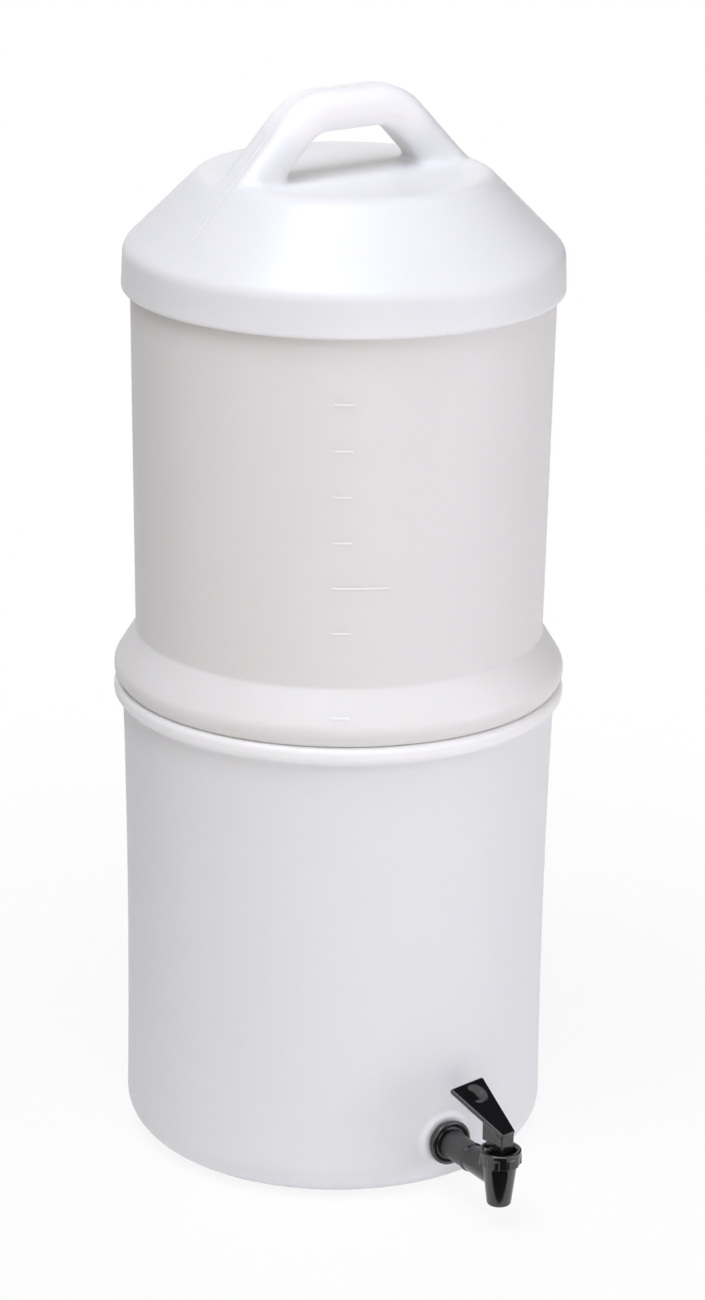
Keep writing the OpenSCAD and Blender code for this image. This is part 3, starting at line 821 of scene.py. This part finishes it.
def grip(points, inset=0.0):
    """The grip's path in its own plane: level bar, an arc of radius GRIP_BEND, then a leg down at 45
    degrees. The distance from that path is the height above it, the distance from the arc's centre
    less its radius, or the distance from the sloping line."""
    u, v, z = grip_coordinates(points)
    a, b = np.abs(u) - BEND_U, z - (GRIP_LINE - GRIP_BEND)
    bar = b - GRIP_BEND
    bend = np.hypot(a, b) - GRIP_BEND
    leg = (a + b) / np.sqrt(2) - GRIP_BEND
    outward = np.where(a <= 0, bar, np.where(a > b, leg, bend))
    down = (a - b) / np.sqrt(2)
    return np.maximum(grip_section(outward, v, inset), down - LEG_LENGTH)


def lid_field(points):
    """Body and grip, blended by GRIP_BLEND above the cone. Lower down the leg lies in the cone's own
    surface, where a blend of two equal distances would swell, so its width fades to nothing there. The
    hollow is the body moved in by the wall, and runs up into the legs as far as LEG_HOLLOW_FROM."""
    radius, z = np.hypot(points[..., 0], points[..., 1]), points[..., 2]
    u, v, _ = grip_coordinates(points)
    fade = np.clip((BLEND_END - np.abs(u)) / BLEND_FADE, 0.02, 1)
    outside = soft_min(lid_body(radius, z, 0.0), grip(points), GRIP_BLEND * fade)
    outside = soft_max(outside, SKIRT_Z - z, LOW_EDGE)
    down = 0.7 * (np.abs(u) - BEND_U - z + GRIP_LINE - GRIP_BEND)
    leg_hollow = np.maximum(grip(points, WALL), LEG_HOLLOW_FROM - down)
    hollow = np.minimum(lid_body(radius, z, WALL), leg_hollow)
    return soft_max(outside, -hollow, HOLLOW_EDGE)


lid_shape, lid_normals = moulded(lid_field, lid_low, lid_high, LID_PITCH)
mesh_piece("lid_shell", lid_shape, "lid", lid_white, ["lid"], normals=lid_normals)

# %% Lid seam
SEAM_HALF = 0.45
SEAM_PROUD = 0.25
SEAM_RUN = 110.0
SEAM_TURN = np.radians(8)


def seam_path():
    """Half of the grip's outer line in its own plane: the bar's top, an arc of the bend's radius plus
    half the bar, and the leg's face, which runs on down over the cone."""
    reach = GRIP_BEND + GRIP_T / 2
    bend = np.radians(np.linspace(0, 45, 24, endpoint=False))
    leg = np.linspace(0, SEAM_RUN, 110)
    bar = np.linspace(0, BEND_U, 16, endpoint=False)
    u = np.concatenate([bar, BEND_U + reach * np.sin(bend), BEND_U + (reach + leg) / np.sqrt(2)])
    z = np.concatenate([bar * 0 + reach, reach * np.cos(bend), (reach - leg) / np.sqrt(2)])
    return u, z + GRIP_LINE - GRIP_BEND


def lid_seam():
    """The mould's parting line: a low rib along the lid's skin in the mould's plane. The path is
    moved on to the skin by distance / slope, and the rib is an ellipse carried along it."""
    u, z = seam_path()
    u, z = np.concatenate([-u[:0:-1], u]), np.concatenate([z[:0:-1], z])
    path = np.stack([u * np.cos(SEAM_TURN), u * np.sin(SEAM_TURN), z], 1)
    side = np.array([-np.sin(SEAM_TURN), np.cos(SEAM_TURN), 0])
    for _ in range(4):
        up = slope(lid_field, path)
        up -= (up @ side)[:, None] * side
        path = path - (lid_field(path) / (up**2).sum(1))[:, None] * up
    up /= np.linalg.norm(up, axis=1, keepdims=True)
    around = full_turn(12)
    ends = np.minimum(np.arange(len(path)), np.arange(len(path))[::-1])
    fade = np.clip(ends / 14, 0.02, 1)[:, None, None]
    across = SEAM_HALF * np.cos(around)[None, :, None] * side * fade
    proud = SEAM_PROUD * np.sin(around)[None, :, None] * up[:, None, :] * fade
    points = path[:, None, :] + across + proud
    return points.reshape(-1, 3), [grid_quads(len(path), len(around))]


mesh_piece("lid_seam", lid_seam(), "lid", rib_white)

# %% [markdown]
# ## The candles
# Three ceramic candles stand on the upper tank's floor. Each has a domed porous body in a plastic cap
# with a hollow stem, a rubber seal above the floor, and a washer and wing nut below it.

# %% Candle finishes


def fired_ceramic():
    finish = Finish("candle_ceramic_fired", IOR=1.5, Specular_IOR_Level=0.25)
    speckle = finish.noise(900, detail=4)
    cloud = finish.noise(45, detail=3)
    tone = finish.span(speckle, 0.35, 0.6) * 0.6 + cloud * 0.4
    dark, light = (0.78, 0.74, 0.66), (0.90, 0.88, 0.83)
    return finish.skin(tone, dark, light, 0.78 + 0.15 * (speckle - 0.5), speckle, 0.0003, 0.6)


def plain_plastic(name, colour, roughness):
    finish = Finish(name, IOR=1.49)
    cloud = finish.noise(60, detail=2)
    grain = finish.noise(900, detail=2)
    darker = [c * 0.94 for c in colour]
    uneven = roughness + 0.12 * (grain - 0.5) + 0.08 * (cloud - 0.5)
    return finish.skin(cloud, darker, colour, uneven, grain, 0.00006)


def soft_rubber(name, colour):
    finish = Finish(name, IOR=1.5, Specular_IOR_Level=0.3)
    grain = finish.noise(1600, detail=3)
    bloom = finish.noise(120, detail=3)
    paler = [c * 1.5 + 0.01 for c in colour]
    uneven = 0.62 + 0.2 * (grain - 0.5)
    return finish.skin(finish.span(bloom, 0.4, 0.8), colour, paler, uneven, grain, 0.0001)


ceramic = fired_ceramic()
candle_white = plain_plastic("candle_cap_white", (0.80, 0.83, 0.87), 0.38)
seal_blue = soft_rubber("seal_blue", (0.05, 0.12, 0.30))

# %% Candles
CANDLE_RING = 60.0
CANDLE_TURNS = (90, 210, 330)
CANDLE_R = 25.0
CERAMIC_WALL = 9.0


def moved(shape, offset):
    points, faces = shape
    return points + np.array(offset), faces


def candle_place(turn):
    angle = np.radians(turn)
    return [CANDLE_RING * np.cos(angle), CANDLE_RING * np.sin(angle), 0]


def candle_body(low, top):
    dome = CANDLE_R - 0.5
    inner = CANDLE_R - CERAMIC_WALL
    return spaced(rounded([
        [inner, low, 0], [CANDLE_R, low, 1], [CANDLE_R, top, dome], [0.01, top, 0],
        [0.01, top - CERAMIC_WALL, 0], [inner, top - CERAMIC_WALL, inner - 0.5],
    ], step=6), 8)


def candle_cap(low, high, stem_low):
    bore_r, cap_r, floor = 2.6, CANDLE_R + 1.5, 4.4
    return rounded([
        [bore_r, stem_low, 0.4], [STEM_R, stem_low, 1], [STEM_R, low, 0.5],
        [cap_r, low, 2], [cap_r, high, 0.6], [CANDLE_R + 0.2, high, 0.4],
        [CANDLE_R + 0.2, low + floor, 0.3], [CANDLE_R - CERAMIC_WALL - 0.4, low + floor, 0.3],
        [CANDLE_R - CERAMIC_WALL - 0.4, high, 1], [bore_r, high, 0.4],
    ])


def scaled_about_z(points, scale):
    return points * np.stack([scale, scale, np.ones_like(scale)], -1)


def screw_thread(core, pitch, depth, low, high):
    """A thread on the wall of radius core between two heights: the radius falls by depth and rises
    again once for each pitch up and once for each turn round the axis."""
    def cut(points):
        radius = np.hypot(points[..., 0], points[..., 1])
        angle = np.arctan2(points[..., 1], points[..., 0])
        z = points[..., 2]
        wave = 0.5 - 0.5 * np.cos(2 * np.pi * (z / pitch - angle / (2 * np.pi)))
        on_thread = (np.abs(radius - core) < 0.05) & (z > low) & (z < high)
        return scaled_about_z(points, np.where(on_thread, 1 - depth * wave / core, 1))
    return cut


def flat_ring(inner, outer, low, high, inner_edge, outer_edge):
    """A washer's section: a rectangle beside the axis with small rounded corners."""
    return rounded([
        [inner, low, inner_edge], [outer, low, outer_edge], [outer, high, outer_edge],
        [inner, high, inner_edge],
    ])


STEM_R = 6.0
stem_thread = screw_thread(STEM_R, 1.75, 0.35, 0, FLOOR_Z + 1.5)


def candle_part(number, kind, node, profile, columns, finish, shape=None):
    """One turned part of a candle, moved to its place on the ring of candles."""
    place = candle_place(CANDLE_TURNS[number - 1])
    part = moved(turned(profile, full_turn(columns), shape), place)
    mesh_piece(f"candle_{number}_{kind}", part, "upper_tank", finish, [f"candle_{number}_{node}"])


for number in range(1, len(CANDLE_TURNS) + 1):
    (_, _, ceramic_low), (_, _, ceramic_top) = cad_mm(f"candle_{number}_ceramic")
    (_, _, stem_low), (_, _, cap_top) = cad_mm(f"candle_{number}_base")
    (_, _, seal_low), (_, _, seal_top) = cad_mm(f"candle_{number}_seal")
    body = candle_body(ceramic_low, ceramic_top)
    cap = spaced(candle_cap(seal_top + 0.15, cap_top, stem_low), 0.35)
    seal = flat_ring(STEM_R + 0.1, 16, seal_low, seal_top, 0.4, 0.5)
    candle_part(number, "body", "ceramic", body, 96, ceramic)
    candle_part(number, "cap", "base", cap, 72, candle_white, stem_thread)
    candle_part(number, "washer", "seal", seal, 72, seal_blue)

# %% [markdown]
# ## The tap
# A black glossy moulding: a threaded shank with a dished flange, two tube lengths with a ring between
# them, and an upright barrel that tapers down to the spout. On top sits a screwed bonnet with finger
# pads and an open bowl, and in it the push lever with its thumb plate.

# %% Black plastic
DULL_START, DULL_END = (-0.1552, -0.1542), (-0.1362, -0.1352)


def glossy_black():
    """The tube next to the flange is duller than the rest, as the photograph shows."""
    finish = Finish("tap_black", IOR=1.5, Specular_IOR_Level=0.85)
    coords = finish.node("ShaderNodeTexCoord", {}, {}, "Object")
    y = finish.node("ShaderNodeSeparateXYZ", {}, (coords,), "Y")
    dull = finish.span(y, *DULL_START) * (1 - finish.span(y, *DULL_END))
    smear = finish.noise(260, detail=3)
    grain = finish.noise(2500, detail=2)
    black, faded = (0.008, 0.0085, 0.009), (0.022, 0.023, 0.021)
    return finish.skin(dull, black, faded, 0.1 + 0.33 * dull + 0.08 * smear, grain, 0.00002, 0.35)


tap_black = glossy_black()
washer_black = soft_rubber("washer_black", (0.012, 0.012, 0.012))

# %% Tap body
TAP_REACH = 185.5
THREAD_R = 8.0
THREAD_PITCH = 1.8
BOSS_BACK = BASE_R - WALL - 1.8
THREAD_END = BOSS_BACK - 13.6
WASHER_T = 2.3
FLANGE_BACK = BOSS_FACE + WASHER_T + 0.1
FLANGE_R = 13.7
FLANGE_T = 3.5
RING_AT = 155.0
SHANK_BORE_R = 4.5
SPOUT_Z = tap_low[2]
SPOUT_R = 7.1
BARREL_TOP = TAP_Z + 8.5
BARREL_R = 10.25
NECK_TOP = BARREL_TOP + 1.4


def on_shank(shape):
    """Lays a shape from the Z axis on to the shank: height becomes distance from the tanks' axis."""
    points, faces = shape
    return np.stack([points[:, 0], -points[:, 2], points[:, 1] + TAP_Z], 1), faces


def at_barrel(shape):
    return moved(shape, [0, -TAP_REACH, 0])


shank_thread = screw_thread(THREAD_R, THREAD_PITCH, 0.4, THREAD_END + 1, FLANGE_BACK - 1)


def shank_profile():
    return spaced(rounded([
        [SHANK_BORE_R, THREAD_END, 0.4], [THREAD_R, THREAD_END, 1], [THREAD_R, FLANGE_BACK, 0.4],
        [FLANGE_R, FLANGE_BACK, 1.0], [FLANGE_R, FLANGE_BACK + FLANGE_T, 1.1],
        [FLANGE_R - 1.6, FLANGE_BACK + FLANGE_T, 0.7], [9.9, FLANGE_BACK + 1.7, 1.2],
        [8.9, FLANGE_BACK + 1.9, 0.5], [8.75, FLANGE_BACK + 3.2, 0.6],
        [8.2, RING_AT - 1.4, 0.2], [8.55, RING_AT - 1.2, 0.15], [8.55, RING_AT + 0.2, 0.1],
        [8.95, RING_AT + 0.4, 0.3], [8.95, RING_AT + 1.9, 0.6], [8.1, RING_AT + 2.8, 0.4],
        [8.1, TAP_REACH - 4, 0.3], [SHANK_BORE_R, TAP_REACH - 4, 0.3],
    ]), 0.45)


def barrel_profile():
    return spaced(rounded([
        [5.7, SPOUT_Z, 0.6], [SPOUT_R, SPOUT_Z, 1.3], [BARREL_R, BARREL_TOP, 0.4],
        [9.4, BARREL_TOP, 0.2], [9.4, NECK_TOP, 0.3], [8.2, NECK_TOP, 0.2], [6.9, SPOUT_Z + 12, 0.6],
        [4.3, SPOUT_Z + 12, 0.3], [4.3, SPOUT_Z + 10, 0.3], [4.9, SPOUT_Z + 10, 0.3],
        [5.4, SPOUT_Z + 2, 0.5],
    ]), 1.2)


mesh_piece(
    "tap_shank_and_spout",
    joined(on_shank(turned(shank_profile(), full_turn(128), shank_thread)),
           at_barrel(turned(barrel_profile(), full_turn(160)))),
    "lower_tank", tap_black, ["tap_body"],
)

# %% Washers
WASHER_R = 12.2


def shank_washer(name, node, back):
    section = flat_ring(THREAD_R + 0.1, WASHER_R, back, back + WASHER_T, 0.3, 0.9)
    washer = on_shank(turned(section, full_turn(96)))
    mesh_piece(name, washer, "lower_tank", washer_black, [node])


shank_washer("tap_washer_outside", "tap_outer_washer", BOSS_FACE + 0.05)
shank_washer("tap_washer_inside", "tap_inner_washer", BOSS_BACK - WASHER_T - 0.05)

# %% [markdown]
# ### The bonnet
# A ring with a bowl in its top. The profile is turned on a fine grid, and six finger pads stand out
# from its lower half. The two ears that hold the pivot pin stand inside the bowl.

# %% Bonnet
BONNET_LOW = BARREL_TOP + 0.2
BONNET_TOP = BARREL_TOP + 9.2
BONNET_R = 12.0
BONNET_LEAN = 0.6
PAD_R = 12.7
BOWL_R = 9.5
BONNET_FLOOR_T, CUP_RIM_T, CUP_PLAY = 1.2, 0.8, 0.1
BOWL_FLOOR = NECK_TOP + CUP_RIM_T + CUP_PLAY + BONNET_FLOOR_T
PAD_COUNT = 6
PAD_TURN = 37.0
PAD_HALF = 17.0
PAD_HEIGHT = 5.9
EAR_HALF, EAR_AT, EAR_CHORD = 3.4, 5.0, 4.9
LEVER_TURN = np.radians(12)


def bonnet_profile():
    return spaced(rounded([
        [9.6, BONNET_LOW, 0.2], [BONNET_R, BONNET_LOW, 0.4], [BONNET_R + BONNET_LEAN, BONNET_TOP, 0.9],
        [BOWL_R + 1.0, BONNET_TOP, 0.5],
        [BOWL_R, BONNET_TOP - 1.4, 0.6], [BOWL_R, BOWL_FLOOR, 0.8], [2.05, BOWL_FLOOR, 0.2],
        [2.05, BOWL_FLOOR - BONNET_FLOOR_T, 0.1], [9.6, BOWL_FLOOR - BONNET_FLOOR_T, 0.2],
    ]), 0.3)


def with_pads(points):
    """Below PAD_HEIGHT the outer wall grows to the pads' radius near each pad's middle. Both the sides
    and the upper end of a pad are short smooth slopes."""
    angle = np.degrees(np.arctan2(points[..., 1], points[..., 0]))
    spread = 180 / PAD_COUNT
    from_pad = (angle - PAD_TURN + spread) % (2 * spread) - spread
    radius = np.hypot(points[..., 0], points[..., 1])
    share = np.clip((PAD_HALF - np.abs(from_pad)) / 2.5 + 0.5, 0, 1)
    share = share * np.clip((BONNET_LOW + PAD_HEIGHT - points[..., 2]) / 0.8 + 0.5, 0, 1)
    wall = BONNET_R + BONNET_LEAN * (points[..., 2] - BONNET_LOW) / (BONNET_TOP - BONNET_LOW)
    outer = radius > BONNET_R - 0.6
    grown = np.where(outer, radius + (PAD_R - wall).clip(0) * share, radius)
    return scaled_about_z(points, grown / np.maximum(radius, 1e-6))


def slab(outline, low, high, edge=0.4):
    """An outline raised from low to high, its upper edge drawn in along a quarter circle. Both ends are
    closed by a fan from the outline's middle."""
    bow = np.linspace(0, np.pi / 2, 4)
    inset = np.concatenate([[0.0, 0.0], edge * (1 - np.cos(bow))])
    height = np.concatenate([[low, high - edge], high - edge + edge * np.sin(bow)])
    middle = outline.mean(0)
    arm = outline - middle
    shrink = 1 - inset[:, None] / np.hypot(arm[:, 0], arm[:, 1])[None, :]
    ring = middle + arm[None] * shrink[..., None]
    z = np.repeat(height[:, None], len(outline), axis=1)
    return closed_ends(np.concatenate([ring, z[..., None]], -1), [[*middle, low], [*middle, high]])


def ear_outline(side):
    """The part of the bowl's round between a chord and the wall, on one side or the other."""
    along = np.linspace(-EAR_HALF, EAR_HALF, 9) + EAR_AT
    wall_x = np.sqrt((BOWL_R + 0.3) ** 2 - along**2)
    outline = np.vstack([
        np.stack([np.full(5, EAR_CHORD), np.linspace(along[-1], along[0], 5)], 1),
        np.stack([wall_x, along], 1),
    ])
    return outline if side > 0 else outline[::-1] * np.array([-1, 1])


def at_lever(shape):
    """From the lever's own plane to its place on the barrel, turned with the bonnet."""
    points, faces = shape
    x = points[:, 0] * np.cos(LEVER_TURN) - points[:, 1] * np.sin(LEVER_TURN)
    y = points[:, 0] * np.sin(LEVER_TURN) + points[:, 1] * np.cos(LEVER_TURN) - TAP_REACH
    return np.stack([x, y, points[:, 2]], 1), faces


ears = [at_lever(slab(ear_outline(side), BOWL_FLOOR - 0.2, BONNET_TOP - 0.6)) for side in (1, -1)]
bonnet = at_barrel(turned(bonnet_profile(), full_turn(360), with_pads))
mesh_piece(
    "tap_bonnet_ring", joined(bonnet, *ears), "lower_tank", tap_black, ["tap_bonnet"],
)

# %% [markdown]
# ### The lever
# A thumb plate, narrow in front and wide behind, slopes up and back from a square neck, with a round
# dimple for the thumb. All of it is one moulding with small rounded edges, so it is a field as the lid
# is: a plate between planes, a trunk and a fork, joined with a small softening, less the dimple. The
# fork's lower end is round about the pivot and a millimetre slimmer above it, so that it clears the
# bowl when the lever is pressed.

# %% Lever
PLATE_SLOPE = np.radians(30)
PLATE_LENGTH = 41.0
PLATE_T = 3.7
PLATE_NEAR_HALF, PLATE_FAR_HALF = 5.3, 13.4
TRUNK_LOW = BONNET_TOP + 3.8
NECK_LOW, NECK_BACK = BONNET_TOP - 0.9, 1.6
PLATE_NEAR_S, PLATE_NEAR_Z = 7.0, TRUNK_LOW + 7.9
TRUNK_HALF = 5.2
TRUNK_BACK, TRUNK_FRONT = -10.2, 6.2
CHEEK = 4.6
SLOT_HALF = 2.4
PIVOT_S, PIVOT_Z = -5.0, BOWL_FLOOR + 3.7
HUB_R = 3.0
DIMPLE_R, DIMPLE_DEPTH, DIMPLE_FROM_END = 14.0, 1.7, 9.0
EDGE = 0.55
LEVER_PITCH = 0.42


def thumb_plate(s, across, z):
    """Distances to the plate's faces: top and bottom along its normal, both ends along its slope, and
    sides that spread from the narrow end to the wide one. The dimple is a ball taken out of the top."""
    rise = z - PLATE_NEAR_Z
    back = PLATE_NEAR_S - s
    along = back * np.cos(PLATE_SLOPE) + rise * np.sin(PLATE_SLOPE)
    height = rise * np.cos(PLATE_SLOPE) - back * np.sin(PLATE_SLOPE)
    spread = (PLATE_FAR_HALF - PLATE_NEAR_HALF) / PLATE_LENGTH
    side = (np.abs(across) - PLATE_NEAR_HALF - spread * along) / np.hypot(1, spread)
    plan = soft_max(soft_max(side, along - PLATE_LENGTH, 1.4), -along, 0.8)
    plate = soft_max(soft_max(plan, height, 1.0), -height - PLATE_T, 2.2)
    ball = np.sqrt((along - PLATE_LENGTH + DIMPLE_FROM_END) ** 2 + across**2
                   + (height - DIMPLE_R + DIMPLE_DEPTH) ** 2) - DIMPLE_R
    return soft_max(plate, -ball, 0.7), height


def lever_field(points):
    x, y = points[..., 0], points[..., 1] + TAP_REACH
    across = x * np.cos(LEVER_TURN) + y * np.sin(LEVER_TURN)
    s = x * np.sin(LEVER_TURN) - y * np.cos(LEVER_TURN)
    z = points[..., 2]
    plate, height = thumb_plate(s, across, z)
    under_plate = height + PLATE_T / 2
    ends = soft_max(TRUNK_BACK - s, s - TRUNK_FRONT, 0.1)
    trunk = soft_max(np.abs(across) - TRUNK_HALF, ends, 2 * EDGE)
    neck = soft_max(NECK_LOW - z, NECK_BACK - s, EDGE)
    trunk = soft_max(trunk, soft_max(soft_min(TRUNK_LOW - z, neck, EDGE), under_plate, 0.2), EDGE)
    hub = np.hypot(np.maximum(PIVOT_S - s, 0), np.maximum(PIVOT_Z - z, 0)) - HUB_R
    hub = hub + np.clip(z - PIVOT_Z, 0, 1)
    fork = soft_max(np.abs(across) - CHEEK, s - TRUNK_FRONT + 0.2, EDGE)
    fork = soft_max(fork, soft_max(hub, z - TRUNK_LOW - 1, 0.1), EDGE)
    slot = np.maximum(np.abs(across) - SLOT_HALF, np.maximum(s - TRUNK_FRONT + 1.8, z - PIVOT_Z - 4.4))
    lever = soft_min(soft_min(plate, trunk, 0.8), fork, 0.3)
    return soft_max(lever, -slot, 0.2)


lever_low, lever_high = cad_mm("tap_lever")
lever_shape, lever_normals = moulded(lever_field, lever_low, lever_high, LEVER_PITCH)
mesh_piece(
    "lever_and_thumb_plate", lever_shape, "lever", tap_black, ["tap_lever"],
    normals=lever_normals,
)

# %% [markdown]
# ## Small parts that stay as they are
# The pins, the valve's stem, the nuts and the thin washers already have their real shape in the packed
# model. They only need their finish.

# %% Finishes of the small parts


def turned_steel():
    finish = Finish("pin_steel_turned", Metallic=1.0)
    ring = finish.noise(3000, detail=2, stretch=(6, 1, 1))
    dark, light = (0.52, 0.52, 0.53), (0.66, 0.66, 0.67)
    return finish.skin(ring, dark, light, 0.22 + 0.2 * ring, ring, 0.00002, 0.4)


def soft_silicone():
    finish = Finish("seat_silicone", IOR=1.41, Subsurface_Weight=0.4, Subsurface_Scale=0.002)
    bloom = finish.noise(400, detail=3)
    dark, light = (0.62, 0.61, 0.57), (0.74, 0.73, 0.70)
    return finish.skin(bloom, dark, light, 0.45 + 0.2 * (bloom - 0.5), bloom, 0.00004)


def dress(finish, *nodes):
    """Gives carried-over nodes their finish in every material slot."""
    for name in nodes:
        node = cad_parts[name]
        node.data.materials.clear()
        node.data.materials.append(finish.material)
        print(name, "dressed as", finish.material.name)


dress(turned_steel(), "lever_pivot_pin", "lever_lift_pin")
dress(plain_plastic("stem_natural", (0.74, 0.73, 0.69), 0.3), "valve_stem")
dress(candle_white, "candle_wing_nuts")
dress(seal_blue, "candle_nut_washers")
dress(plain_plastic("nut_black", (0.012, 0.012, 0.013), 0.35), "tap_lock_nut")

# %% [markdown]
# ### The seat cup
# A soft silicone bulb closes the spout's seat. It hangs from a thin cone whose rim is clamped under the
# bonnet, which also keeps water out of the bowl. When the stem lifts the bulb, the rim stays where it is
# and the cone gives way. The piece rides on no body: its place is baked into its mesh.

# %% Seat cup
cup_low, cup_high = cad_mm("valve_seat_cup")
CUP_LOW, CUP_TOP = cup_low[2], cup_high[2]
BARB_Z = CUP_LOW + 2.9
STEM_HOLE_R = 2.02


def seat_cup_profile():
    return spaced(rounded([
        [0, CUP_LOW, 0], [3.6, CUP_LOW, 0.3], [4.9, CUP_LOW + 1.2, 0.4], [4.9, CUP_LOW + 6.5, 0.8],
        [3.6, CUP_LOW + 9.6, 0.6], [7.6, NECK_TOP - 0.6, 0.4], [7.6, NECK_TOP + 0.05, 0],
        [9.2, NECK_TOP + 0.05, 0.2], [9.2, CUP_TOP, 0.2], [6.9, CUP_TOP, 0.3],
        [2.4, CUP_LOW + 10.4, 0.4], [STEM_HOLE_R, CUP_LOW + 9.8, 0], [STEM_HOLE_R, BARB_Z + 2, 0],
        [2.8, BARB_Z + 1.8, 0], [2.8, BARB_Z + 0.85, 0], [1.65, BARB_Z - 0.3, 0], [0, BARB_Z - 0.3, 0],
    ]), 0.5)


rim_stays = (0, -TAP_REACH * MM, (NECK_TOP - 0.2) * MM)
bulb_moves = (0, -TAP_REACH * MM, (CUP_LOW + 10.4) * MM)
mesh_piece(
    "seat_cup", at_barrel(turned(seat_cup_profile(), full_turn(72))), "lower_tank",
    soft_silicone(), ["valve_seat_cup"], bend=("valve", rim_stays, bulb_moves),
)
